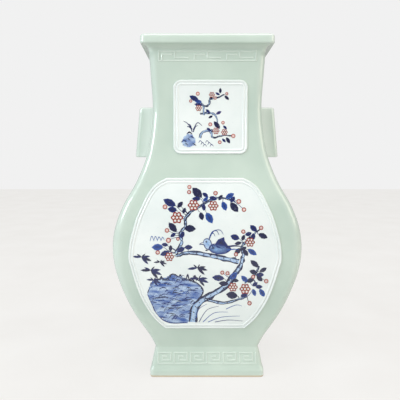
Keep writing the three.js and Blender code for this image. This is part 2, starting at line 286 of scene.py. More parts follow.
# A path of (out, height) whose bends are each eased by their own radius
def easedPath(path):
    result = []
    for index, (out, z, radius) in enumerate(path):
        if index in (0, len(path) - 1) or radius == 0:
            result.append((out, z))
            continue
        here = Vector((out, z))
        before = Vector(path[index - 1][:2]) - here
        after = Vector(path[index + 1][:2]) - here
        reach = min(radius, before.length * easing["mostOfSpan"], after.length * easing["mostOfSpan"])
        first = here + before.normalized() * reach
        last = here + after.normalized() * reach
        for step in range(easing["steps"] + 1):
            t = step / easing["steps"]
            point = first * (1 - t) ** 2 + here * 2 * t * (1 - t) + last * t ** 2
            result.append((point.x, point.y))
    return result


# Faces of a closed strip of rings that lie one above the other, capped at both ends
def tubeFaces(levels, count):
    faces = []
    for level in range(levels - 1):
        for index in range(count):
            a = level * count + index
            b = level * count + (index + 1) % count
            faces.append((a, b, b + count, a + count))
    faces.append(tuple(reversed(range(count))))
    faces.append(tuple(range((levels - 1) * count, levels * count)))
    return faces


footForm = {
    "splay": 4.7, "lipProud": 1.8, "lipHeight": 9, "bandTop": 31, "bandBottom": 13, "ringWidth": 10,
    "corner": 4.2,
    "hiddenReach": 10,           # how far the ring's hidden face lies inside the waist
    "hiddenEase": 3, "heelEase": 1, "edgeEase": 1.4,
    "ledge": 0.5, "ledgeDrop": 1, "ledgeEase": 1, "bandBottomEase": 0.6, "bandTopEase": 1.0,
    "waistReach": 0.3, "waistDrop": 1, "waistEase": 2,
}


# The foot ring in section, from the floor's underside out and up to the waist: out, height, easing
def footPath():
    form = footForm
    waist = wallForm["stations"]["waist"][0]
    splay = form["splay"]
    out = splay + form["lipProud"]
    bandStart = splay * (waist - form["bandTop"]) / (waist - form["bandBottom"])
    return [
        (-form["hiddenReach"], wallForm["floorUnder"], 0),
        (-form["hiddenReach"], form["bandBottom"], form["hiddenEase"]),
        (out - form["ringWidth"], 0, form["heelEase"]),
        (out, 0, form["edgeEase"]),
        (out, form["lipHeight"], form["edgeEase"]),
        (splay + form["ledge"], form["bandBottom"] - form["ledgeDrop"], form["ledgeEase"]),
        (splay, form["bandBottom"], form["bandBottomEase"]),
        (bandStart, form["bandTop"], form["bandTopEase"]),
        (form["waistReach"], waist - form["waistDrop"], form["waistEase"]),
        (0, waist, 0),
    ]


lipForm = {
    "overhang": 8.6, "faceBottom": 389.5, "top": 400, "topWidth": 10, "corner": 5.4,
    "startDrop": 1, "startReach": 0.2, "startEase": 1.2,
    "coveReach": 7.9, "coveRise": 5.5, "coveTurns": (0.25, 0.5, 0.75), "coveEase": 0.6,
    "underReach": 8.0, "faceLift": 1, "faceEase": 1.8, "topEase": 3.4, "mouthEase": 2.5,
    "throatReach": 4.5, "throatHeight": 392, "throatEase": 3,
}


# The lip in section, from the neck out under the overhang, over the top and down inside
def lipPath():
    form = lipForm
    neckTop = wallForm["stations"]["neckTop"][0]
    path = [(0, neckTop - form["startDrop"], 0), (form["startReach"], neckTop, form["startEase"])]
    for turn in form["coveTurns"]:
        angle = turn * quarterTurn
        out = form["coveReach"] * (1 - math.cos(angle))
        path.append((out, neckTop + form["coveRise"] * math.sin(angle), form["coveEase"]))
    return path + [
        (form["underReach"], form["faceBottom"], form["coveEase"]),
        (form["overhang"], form["faceBottom"] + form["faceLift"], form["faceEase"]),
        (form["overhang"], form["top"], form["topEase"]),
        (form["overhang"] - form["topWidth"], form["top"], form["mouthEase"]),
        (-form["throatReach"], form["throatHeight"], form["throatEase"]),
        (-wallForm["thickness"], neckTop, 0),
    ]


# The rings of the whole glazed body: foot, outer wall, lip, inner wall and floor
def bodyRings():
    waist = wallForm["stations"]["waist"]
    neck = wallForm["stations"]["neckTop"]
    inner = wallForm["thickness"]
    least = wallForm["innerCorner"]
    rings = []
    for grow, z in easedPath(footPath()):
        rings.append((waist[1] + grow, waist[2] + grow, footForm["corner"], z))
    z = waist[0] + wallForm["levelMargin"]
    while z < neck[0] - wallForm["levelMargin"]:
        rings.append((halfWidthAt(z), halfDepthAt(z), cornerAt(z), z))
        z += wallForm["levelStep"]
    for grow, z in easedPath(lipPath()):
        rings.append((neck[1] + grow, neck[2] + grow, lipForm["corner"], z))
    z = neck[0] - wallForm["innerStep"]
    while z > wallForm["floorTop"] + wallForm["floorClear"]:
        rings.append((halfWidthAt(z) - inner, halfDepthAt(z) - inner, max(cornerAt(z) - inner, least), z))
        z -= wallForm["innerStep"]
    for shrink, lift in wallForm["floorRounding"]:
        z = wallForm["floorTop"] + lift
        rings.append((halfWidthAt(z) - inner - shrink, halfDepthAt(z) - inner - shrink, least, z))
    return rings


def makeBody():
    rings = [ringPoints(*ring) for ring in bodyRings()]
    points = [point for ring in rings for point in ring]
    faces = tubeFaces(len(rings), len(rings[0]))
    body = newPiece("glazedBody", points, faces, celadon)
    nodes = [f"{side}_{part}" for side in sides for part in ("wall", "lip", "foot")]
    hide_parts("floor_slab", *nodes)


makeBody()
print("body made")


lugForm = {
    "bottom": 263, "top": 323, "reachBottom": 87.6, "reachTop": 81.8, "depth": 30, "wall": 4.4,
    "rounding": 4.5, "innerRounding": 1.5, "endRounding": 1.8, "sink": 1.2,
    "endSteps": 4, "levels": 12, "cornerSteps": 6, "flatEnd": 1,
}


# Heights up the lug, each with how full the section is there: its two ends are rounded over
def lugLevels():
    form = lugForm
    ending = form["endRounding"]
    plain = form["top"] - form["bottom"] - 2 * ending
    turns = [quarterTurn * step / form["endSteps"] for step in range(form["endSteps"] + 1)]
    low = [(form["bottom"] + ending * (1 - math.cos(angle)), math.sin(angle)) for angle in turns]
    middle = [(form["bottom"] + ending + plain * step / form["levels"], 1)
              for step in range(1, form["levels"])]
    high = [(form["top"] - ending * (1 - math.cos(angle)), math.sin(angle)) for angle in reversed(turns)]
    return low + middle + high


# The lug's three-sided section at one height, its two root ends sunk into the neck
def lugSection(z, fullness):
    form = lugForm
    rise = (z - form["bottom"]) / (form["top"] - form["bottom"])
    shrink = form["endRounding"] * (1 - fullness)
    root = halfWidthAt(z) - form["sink"]
    reach = between(form["reachBottom"], form["reachTop"], rise) - shrink
    half = form["depth"] / 2 - shrink
    innerHalf = form["depth"] / 2 - form["wall"] + shrink
    innerReach = reach - form["wall"] + 2 * shrink
    flatEnd = reach - form["rounding"] - form["flatEnd"]
    bend = form["innerRounding"]
    section = [(root, -half), (flatEnd, -half)]
    for side in (-1, 1):
        for step in range(form["cornerSteps"] + 1):
            share = step / form["cornerSteps"]
            angle = (share if side < 0 else 1 - share) * quarterTurn
            x = reach - form["rounding"] + form["rounding"] * math.sin(angle)
            y = half - form["rounding"] + form["rounding"] * math.cos(angle)
            section.append((x, side * y))
    section += [(flatEnd, half), (root, half), (root, innerHalf)]
    section += [(innerReach - bend, innerHalf), (innerReach, innerHalf - bend)]
    section += [(innerReach, bend - innerHalf), (innerReach - bend, -innerHalf), (root, -innerHalf)]
    return section


# Open at the top and bottom; hand is -1 on the left
def makeLug(name, node, hand):
    rings = [[(hand * x, y, z) for x, y in lugSection(z, fullness)] for z, fullness in lugLevels()]
    points = [point for ring in rings for point in ring]
    faces = tubeFaces(len(rings), len(rings[0]))
    if hand < 0:
        faces = [tuple(reversed(face)) for face in faces]
    piece = newPiece(name, points, faces, celadon)
    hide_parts(node)


makeLug("leftLug", "left_lug", -1)
makeLug("rightLug", "right_lug", 1)
print("lugs made")


fretLook = {"voxel": 0.00045, "softening": 5, "smoothing": 0.6, "sink": 0.0005}


# The relief fret under its glaze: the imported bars, melted soft and sunk into the wall
def softenFret(name, node, outward):
    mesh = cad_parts[node].data.copy()
    mesh.materials.clear()
    mesh.materials.append(celadon)
    piece = linked(name, mesh)
    melt = piece.modifiers.new("Melt", "REMESH")
    melt.mode = "VOXEL"
    melt.voxel_size = fretLook["voxel"]
    soften = piece.modifiers.new("Soften", "SMOOTH")
    soften.iterations = fretLook["softening"]
    soften.factor = fretLook["smoothing"]
    graph = bpy.context.evaluated_depsgraph_get()
    melted = bpy.data.meshes.new_from_object(piece.evaluated_get(graph))
    piece.modifiers.clear()
    piece.data = melted
    melted.transform(Matrix.Translation(Vector(outward) * -fretLook["sink"]))
    melted.shade_smooth()
    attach(piece, "root")
    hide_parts(node)


for side, outward in sides.items():
    softenFret(f"{side}RimFret", f"{side}_rim_fret", outward)
    softenFret(f"{side}FootFret", f"{side}_foot_fret", outward)
print("frets made")


panelForm = {
    "neckTop": 351, "neckBottom": 266.5, "neckHalf": 42.8, "neckCorner": 8.9, "neckShift": 3.8,
    "bellyTop": 239.5, "bellyBottom": 60.5, "headHalf": 44, "bellyHalf": 87.8, "footHalf": 46.9,
    "bellyShift": -2.5,
    "widestShare": 0.487,        # where the belly panel is widest, up from its foot
    # The belly panel's edge, as shares out from its head or foot and up or down from its widest
    "headCurve": [(0, 1), (0.27, 0.93), (0.47, 0.82), (0.66, 0.64), (0.77, 0.52), (0.87, 0.37),
                  (0.96, 0.2)],
    "footCurve": [(0.94, 0.13), (0.8, 0.37), (0.62, 0.6), (0.37, 0.81), (0.18, 0.92), (0, 1)],
    # The double border in section: how far in from the edge and how far off the wall
    "borderSection": [
        (0, -0.3), (0.3, 0.6), (1.0, 1.5), (1.8, 1.575), (2.6, 1.2), (3.2, 0.5),
        (3.8, 1.2), (4.6, 1.575), (5.4, 1.5), (6.2, 0.9), (6.9, -0.3),
    ],
    "fieldInset": 6.0, "fieldUnder": 0.05, "field": 0.9, "fieldColumns": 8,
    "cornerSteps": 8, "curveSteps": 5, "sideStep": 3.0,
    "lowest": 36, "highest": 384, "aimRounds": 6,
}


# A smooth curve through every point
def catmull(points, stepsPerSpan):
    result = []
    for index in range(len(points) - 1):
        before = points[max(index - 1, 0)]
        after = points[min(index + 2, len(points) - 1)]
        for step in range(stepsPerSpan):
            t = step / stepsPerSpan
            result.append(tuple(
                0.5 * (2 * b + (c - a) * t + (2 * a - 5 * b + 4 * c - d) * t * t
                       + (3 * b - a - 3 * c + d) * t ** 3)
                for a, b, c, d in zip(before, points[index], points[index + 1], after)))
    result.append(tuple(points[-1]))
    return result


# The right half of the neck panel's edge, from the top down
def neckHalfOutline():
    form = panelForm
    radius = form["neckCorner"]
    straight = form["neckHalf"] - radius
    span = form["neckTop"] - form["neckBottom"] - 2 * radius
    count = int(span / form["sideStep"])
    turns = [quarterTurn * step / form["cornerSteps"] for step in range(form["cornerSteps"] + 1)]
    top = [(straight + radius * math.sin(t), form["neckTop"] - radius + radius * math.cos(t))
           for t in turns]
    edge = [(form["neckHalf"], form["neckTop"] - radius - span * step / count) for step in range(1, count)]
    low = form["neckBottom"] + radius
    bottom = [(straight + radius * math.sin(t), low - radius * math.cos(t)) for t in reversed(turns)]
    return top + edge + bottom


# The right half of the belly panel's edge, from the top down
def bellyHalfOutline():
    form = panelForm
    widest = between(form["bellyBottom"], form["bellyTop"], form["widestShare"])
    points = [(between(form["headHalf"], form["bellyHalf"], out), between(widest, form["bellyTop"], up))
              for out, up in form["headCurve"]]
    points.append((form["bellyHalf"], widest))
    points += [(between(form["footHalf"], form["bellyHalf"], out),
                between(widest, form["bellyBottom"], down))
               for out, down in form["footCurve"]]
    return catmull(points, form["curveSteps"])


def insetOutline(outline, distance):
    result = []
    for index, point in enumerate(outline):
        here = Vector(point)
        arriving = (here - Vector(outline[index - 1])).normalized()
        leaving = (Vector(outline[(index + 1) % len(outline)]) - here).normalized()
        first = Vector((arriving.y, -arriving.x))
        second = Vector((leaving.y, -leaving.x))
        inward = (first + second) / (1 + first.dot(second))
        result.append(tuple(here + inward * distance))
    return result


# Puts flat panel places on the front or back wall, at a height above it
def laidOn(points, lift, shift, turned):
    hand = -1 if turned else 1
    return [(hand * (x + shift), -hand * (halfDepthAt(z) + lift), z) for x, z in points]


def makeBorder(name, node, outline, shift, turned):
    section = panelForm["borderSection"]
    rings = [laidOn(insetOutline(outline, inset), lift, shift, turned) for inset, lift in section]
    count = len(outline)
    faces = []
    for ring in range(len(rings)):
        here = ring * count
        following = (ring + 1) % len(rings) * count
        for index in range(count):
            onward = (index + 1) % count
            faces.append((following + index, following + onward, here + onward, here + index))
    points = [point for ring in rings for point in ring]
    border = newPiece(name, points, faces, white)
    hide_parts(node)


# The white field inside the border, a thin plate of rows that follows the wall
def makeField(name, node, outline, shift, turned):
    form = panelForm
    inner = insetOutline(outline, form["fieldInset"])
    rows = len(outline) // 2
    columns = form["fieldColumns"]
    width = columns + 1
    layer = rows * width
    points = []
    for lift in (form["fieldUnder"], form["field"]):
        for row in range(rows):
            right, height = inner[row]
            left = inner[2 * rows - 1 - row][0]
            across = [(between(left, right, c / columns), height) for c in range(width)]
            points += laidOn(across, lift, shift, turned)
    faces = []
    for row in range(rows - 1):
        for c in range(columns):
            a = layer + row * width + c
            faces.append((a, a + width, a + width + 1, a + 1))
            faces.append((a - layer, a + 1 - layer, a + width + 1 - layer, a + width - layer))
    rim = [row * width for row in range(rows)]
    rim += [(rows - 1) * width + c for c in range(1, width)]
    rim += [row * width + columns for row in range(rows - 2, -1, -1)]
    rim += list(range(columns - 1, 0, -1))
    for index, a in enumerate(rim):
        b = rim[(index + 1) % len(rim)]
        faces.append((b, b + layer, a + layer, a))
    field = newPiece(name, points, faces, white)
    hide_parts(node)


def makePanel(side, kind, half, shift):
    outline = half + [(-x, z) for x, z in reversed(half)]
    turned = side == "back"
    makeBorder(f"{side}{kind}Border", f"{side}_{kind.lower()}_border", outline, shift, turned)
    makeField(f"{side}{kind}Field", f"{side}_{kind.lower()}_field", outline, shift, turned)


for side in ("front", "back"):
    makePanel(side, "Neck", neckHalfOutline(), panelForm["neckShift"])
    makePanel(side, "Belly", bellyHalfOutline(), panelForm["bellyShift"])
print("panels made")


# Where a place in the camera's picture falls on the front panel: across and height, in millimetres
def onPanel(across, down):
    half = cameraSetup["imageSize"] / 2
    pitch = math.radians(cameraSetup["pitch"])
    right = (across - half) / cameraSetup["focalPixels"]
    below = (down - half) / cameraSetup["focalPixels"]
    forward = math.cos(pitch) - below * math.sin(pitch)
    rise = -math.sin(pitch) - below * math.cos(pitch)
    cameraX, cameraY, cameraZ = (value / mm for value in cameraSetup["place"])
    z = cameraZ
    for _ in range(panelForm["aimRounds"]):
        reach = halfDepthAt(min(max(z, panelForm["lowest"]), panelForm["highest"])) + panelForm["field"]
        distance = (-reach - cameraY) / forward
        z = cameraZ + rise * distance
    return cameraX + right * distance, z


inks = {
    "deep": linear(2, 13, 66), "blue": linear(8, 36, 112), "mid": linear(40, 88, 168),
    "wash": linear(132, 172, 218), "faint": linear(192, 213, 234), "red": linear(158, 54, 42),
    "brown": linear(150, 84, 58), "rose": linear(214, 132, 112), "cream": linear(238, 234, 228),
    "violet": linear(92, 84, 140),
}


def isInside(x, y, outline):
    inside = False
    for i, (x1, y1) in enumerate(outline):
        x0, y0 = outline[i - 1]
        if (y0 > y) != (y1 > y) and x < (x1 - x0) * (y - y0) / (y1 - y0) + x0:
            inside = not inside
    return inside


def circle(x, y, radius, count):
    turns = [2 * math.pi * i / count for i in range(count)]
    return [(x + radius * math.cos(t), y + radius * math.sin(t)) for t in turns]


def directionAt(path, index):
    before = Vector(path[max(index - 1, 0)])
    after = Vector(path[min(index + 1, len(path) - 1)])
    return (after - before).normalized()


# The brush's width at one point of a path, from widths given at even steps along it
def widthAt(widths, index, count):
    share = index / (count - 1) * (len(widths) - 1)
    low = min(int(share), len(widths) - 2)
    return between(widths[low], widths[low + 1], share - low)


washLook = {"even": 0.5, "swing": 0.9, "acrossScale": 0.09, "downScale": 0.3, "slice": 3.0}
barkLook = {
    "washSteps": 7, "edgeSteps": 4, "wobble": 0.35,
    "thinEdge": 0.3, "thickEdge": 1.1, "thickGain": 0.28,
    "knotSize": (0.4, 0.9), "knotDip": 0.2, "knotWidths": [0.3, 0.9, 0.3],
}
leafLook = {
    "stretch": 1.14, "veinWidths": [0.15, 0.35],
    "bow": [(0, 0), (0.25, 0.75), (0.55, 1.0), (0.85, 0.6), (1, 0)],
}
blossomLook = {
    "petals": 6, "edgePoints": 30, "round": 0.88, "lobe": 0.12,
    "dotReach": 0.56, "dotSize": 0.19, "dotPoints": 8,
    "budShare": 0.85, "budPoints": 10, "budEdge": 0.7,
}


# One painted motif: flat strokes and fills that lie on the panel, gathered into a single piece
class Painting:
    def __init__(self, name, lift):
        self.name = name
        self.lift = lift
        self.points = []
        self.faces = []
        self.colours = []

    def fill(self, outline, ink, centre, middleInk=None):
        start = len(self.points)
        count = len(outline)
        self.points += [onPanel(*place) for place in outline] + [onPanel(*centre)]
        self.colours += [inks[ink]] * count + [inks[middleInk or ink]]
        for i in range(count):
            self.faces.append((start + i, start + (i + 1) % count, start + count))

    def stroke(self, points, widths, ink, edgeInk=None, steps=6):
        path = catmull(points, steps)
        start = len(self.points)
        for i, (x, y) in enumerate(path):
            along = directionAt(path, i)
            side = Vector((-along.y, along.x)) * widthAt(widths, i, len(path)) / 2
            for amount in (-1, 0, 1):
                self.points.append(onPanel(x + side.x * amount, y + side.y * amount))
                self.colours.append(inks[ink if amount == 0 else (edgeInk or ink)])
        for i in range(len(path) - 1):
            a = start + 3 * i
            self.faces += [(a, a + 1, a + 4, a + 3), (a + 1, a + 2, a + 5, a + 4)]

    # A broad wash laid in small patches, so that it follows the wall and pools unevenly
    def wash(self, outline, pale, dark, step):
        left = min(x for x, _ in outline)
        top = min(y for _, y in outline)
        columns = int((max(x for x, _ in outline) - left) / step) + 1
        rows = int((max(y for _, y in outline) - top) / step) + 1
        for row in range(rows):
            for column in range(columns):
                x = left + column * step
                y = top + row * step
                if not isInside(x + step / 2, y + step / 2, outline):
                    continue
                start = len(self.points)
                for dx, dy in ((0, 0), (step, 0), (step, step), (0, step)):
                    self.points.append(onPanel(x + dx, y + dy))
                    self.colours.append(self.pooled(x + dx, y + dy, pale, dark))
                self.faces.append((start, start + 3, start + 2, start + 1))

    def pooled(self, x, y, pale, dark):
        look = washLook
        spot = Vector((x * look["acrossScale"], y * look["downScale"], look["slice"]))
        pool = min(max(look["even"] + look["swing"] * noise.noise(spot), 0), 1)
        return tuple(between(a, b, pool) for a, b in zip(inks[pale], inks[dark]))

    # A branch: a pale wash with a ragged dark edge on both sides and a few knots
    def limb(self, points, widths):
        look = barkLook
        self.stroke(points, widths, "faint", "wash", look["washSteps"])
        path = catmull(points, look["edgeSteps"])
        thickest = look["thickEdge"] + look["thickGain"] * max(widths)
        for hand in (-1, 1):
            edge = []
            for i, (x, y) in enumerate(path):
                along = directionAt(path, i)
                wobble = random.uniform(-look["wobble"], look["wobble"])
                reach = hand * (widthAt(widths, i, len(path)) / 2 + wobble)
                edge.append((x - along.y * reach, y + along.x * reach))
            thick = [random.uniform(look["thinEdge"], thickest) for _ in edge]
            self.stroke(edge, thick, "deep", steps=3)
        for x, y in path[1:-1:2]:
            size = random.uniform(*look["knotSize"])
            knot = [(x - size, y - size), (x, y + look["knotDip"]), (x + size, y + size)]
            self.stroke(knot, look["knotWidths"], "deep", steps=3)

    def ring(self, x, y, radius, width, ink, count):
        loop = circle(x, y, radius, count)
        self.stroke(loop + loop[:1], [width, width], ink, steps=2)

    def leaf(self, tip, base, ink, fat):
        root = Vector(base)
        point = root + (Vector(tip) - root) * leafLook["stretch"]
        along = root - point
        side = Vector((-along.y, along.x)) * fat / 2
        bow = leafLook["bow"]
        upper = [tuple(point + along * t + side * s) for t, s in bow]
        lower = [tuple(point + along * t - side * s) for t, s in reversed(bow[1:-1])]
        middle = tuple(point + along / 2)
        self.fill(upper + lower, ink, middle, "blue" if ink == "mid" else "deep")
        self.stroke([tip, middle, base], leafLook["veinWidths"], "deep", steps=3)

    def blossom(self, x, y, radius):
        look = blossomLook
        lobes = []
        for i in range(look["edgePoints"]):
            angle = 2 * math.pi * i / look["edgePoints"]
            reach = radius * (look["round"] + look["lobe"] * math.cos(look["petals"] * angle))
            lobes.append((x + reach * math.cos(angle), y + reach * math.sin(angle)))
        self.fill(lobes, "red", (x, y), "brown")

    # The pale dots left inside a blossom, one to a petal and one in the middle
    def dots(self, x, y, radius):
        look = blossomLook
        for px, py in circle(x, y, radius * look["dotReach"], look["petals"]) + [(x, y)]:
            self.fill(circle(px, py, radius * look["dotSize"], look["dotPoints"]), "cream", (px, py))

    def bud(self, x, y, radius):
        look = blossomLook
        radius *= look["budShare"]
        self.fill(circle(x, y, radius, look["budPoints"]), "rose", (x, y), "cream")
        self.ring(x, y, radius, look["budEdge"], "red", look["budPoints"])

    def build(self, turned):
        side = "back" if turned else "front"
        points = laidOn(self.points, panelForm["field"] + self.lift, 0, turned)
        piece = newPiece(f"{side}{self.name}", points, self.faces, pigment)
        layer = piece.data.color_attributes.new("ink", "FLOAT_COLOR", "POINT")
        for index, colour in enumerate(self.colours):
            layer.data[index].color = colour


# The belly's picture, placed in the pixels of the 400 by 400 frame
bellyPicture = {
    "twigReach": 17,
    "leaves": [
        ((164.8, 200.1), (175.7, 205.8)), ((168.7, 209), (177, 210.3)), ((193.5, 188.9), (201.8, 197.5)),
        ((192.9, 198.8), (200.6, 198.8)), ((207.6, 197.5), (203.1, 201.5)),
        ((202.2, 219.2), (200.6, 212.2)),
        ((211.7, 222.1), (206.3, 212.5)), ((233.1, 194), (225.7, 198.2)), ((225.7, 209.6), (222.5, 201.4)),
        ((237.2, 210.9), (230.5, 202.6)), ((169.6, 223.7), (176.6, 232)), ((194.5, 228.8), (184.3, 228.1)),
        ((153, 247.3), (163.3, 247)), ((161.3, 254.6), (169.6, 251.4)), ((231.5, 236.1), (239.4, 238.7)),
        ((250.9, 225.9), (256.7, 231.3)), ((266.5, 237.4), (258.3, 233.9)),
        ((235.3, 243.8), (241.7, 242.5)),
        ((255.7, 254.3), (247.7, 249.2)), ((251.4, 261.1), (258.6, 267.1)), ((265.9, 268.3), (259.5, 272)),
        ((250.4, 271.1), (257.1, 273.2)), ((242, 276.5), (247.7, 282)), ((257, 282.9), (252.3, 285.9)),
        ((255, 295.3), (252.9, 288.9)), ((264.1, 295.9), (259.5, 288.9)), ((213.5, 277.4), (224.4, 278.6)),
        ((219.8, 283.2), (228.3, 284.1)), ((236.2, 273.2), (230.1, 279.2)),
        ((227.4, 294.4), (237.7, 296.2)),
    ],
    "smallLeaves": [
        (179.8, 204.9), (184, 210.9), (205, 194.7), (203.8, 207.1), (212.7, 198.2), (220.3, 197.8),
        (232.4, 199.8),
        (172.8, 235.2), (182.1, 235.2), (165.2, 244.7), (170.6, 247.9), (180.5, 249.8), (188.1, 247.3),
        (243.3, 237.4),
        (248.7, 233.9), (253.2, 236.4), (245.8, 253), (244, 248.5), (238.2, 250.8), (259.8, 274.7),
        (259.8, 278.6),
        (250, 280.7), (258.6, 286.8), (235.3, 280.4), (243.8, 295.3),
    ],
    "blossoms": [
        (193.5, 205.2, 6), (213.3, 205.8, 5.4), (177, 217.6, 6.4), (169.3, 256.8, 4.8), (250, 242.2, 5.1),
        (232.9, 287.1, 4.9), (245, 288.9, 5.7),
    ],
    "buds": [
        (165, 206.8, 2.4), (189.4, 187, 2), (189.1, 192.1, 2), (215.5, 193.1, 2.2), (238.8, 201.4, 2.4),
        (244, 209.6, 2.2),
        (167, 230.4, 2.2), (168.5, 240.3, 2.6), (177.9, 239, 1.6), (157.7, 252.4, 2.2), (243.3, 231.6, 2.1),
        (261.1, 227.8, 2.2), (235.9, 254.3, 2), (222.3, 272.6, 2), (227.5, 273.2, 2), (253.2, 276.8, 2),
        (266.2, 281.1, 2.2),
        (249.5, 303.2, 2.2),
    ],
    "branches": [
        ([(176, 253), (181.7, 243), (180.4, 233.6), (185.7, 225.5), (185, 218.8), (191, 212), (199, 206.8),
          (211, 200), (220.5, 197.4), (234, 201.4)], [2.6, 2.0, 1.4, 0.7]),
        ([(176, 256), (185.7, 253), (200.4, 253.7), (213.8, 256.3), (227, 259), (239, 261.7)],
         [1.2, 2.8, 3.6, 4.2]),
        ([(228.6, 281.8), (235.3, 273.7), (240.6, 265.7), (243.3, 255), (242, 247), (244.6, 243)],
         [4.5, 3.6, 2.2, 0.9]),
        ([(193, 322), (194.5, 309), (201.8, 300.5), (213.8, 293.8), (226, 285.8), (232, 278)],
         [6.5, 5.5, 4.2, 3.4]),
        ([(204.5, 299), (223, 303), (239, 299), (247, 296.5)], [2.2, 1.6, 0.8]),
        ([(245, 282), (254, 276), (259, 266)], [1.6, 0.7]),
        ([(244.6, 243), (252, 236), (260, 229)], [1.2, 0.5]),
    ],
    "bamboo": [(141.5, 257, 9), (150.8, 270.3, 10), (197.4, 267.8, 9), (198.6, 278.6, 9), (153.4, 280, 7),
               (160, 262, 6)],
    "grass": [
        [(199, 322), (207, 310), (219, 306)], [(203, 322), (214, 313), (228, 312)],
        [(208, 322), (222, 317), (240, 316)],
        [(215, 322), (228, 320), (243, 321)], [(196, 318), (199, 309), (207, 304)],
        [(226, 309), (236, 305), (242, 306)],
    ],
}


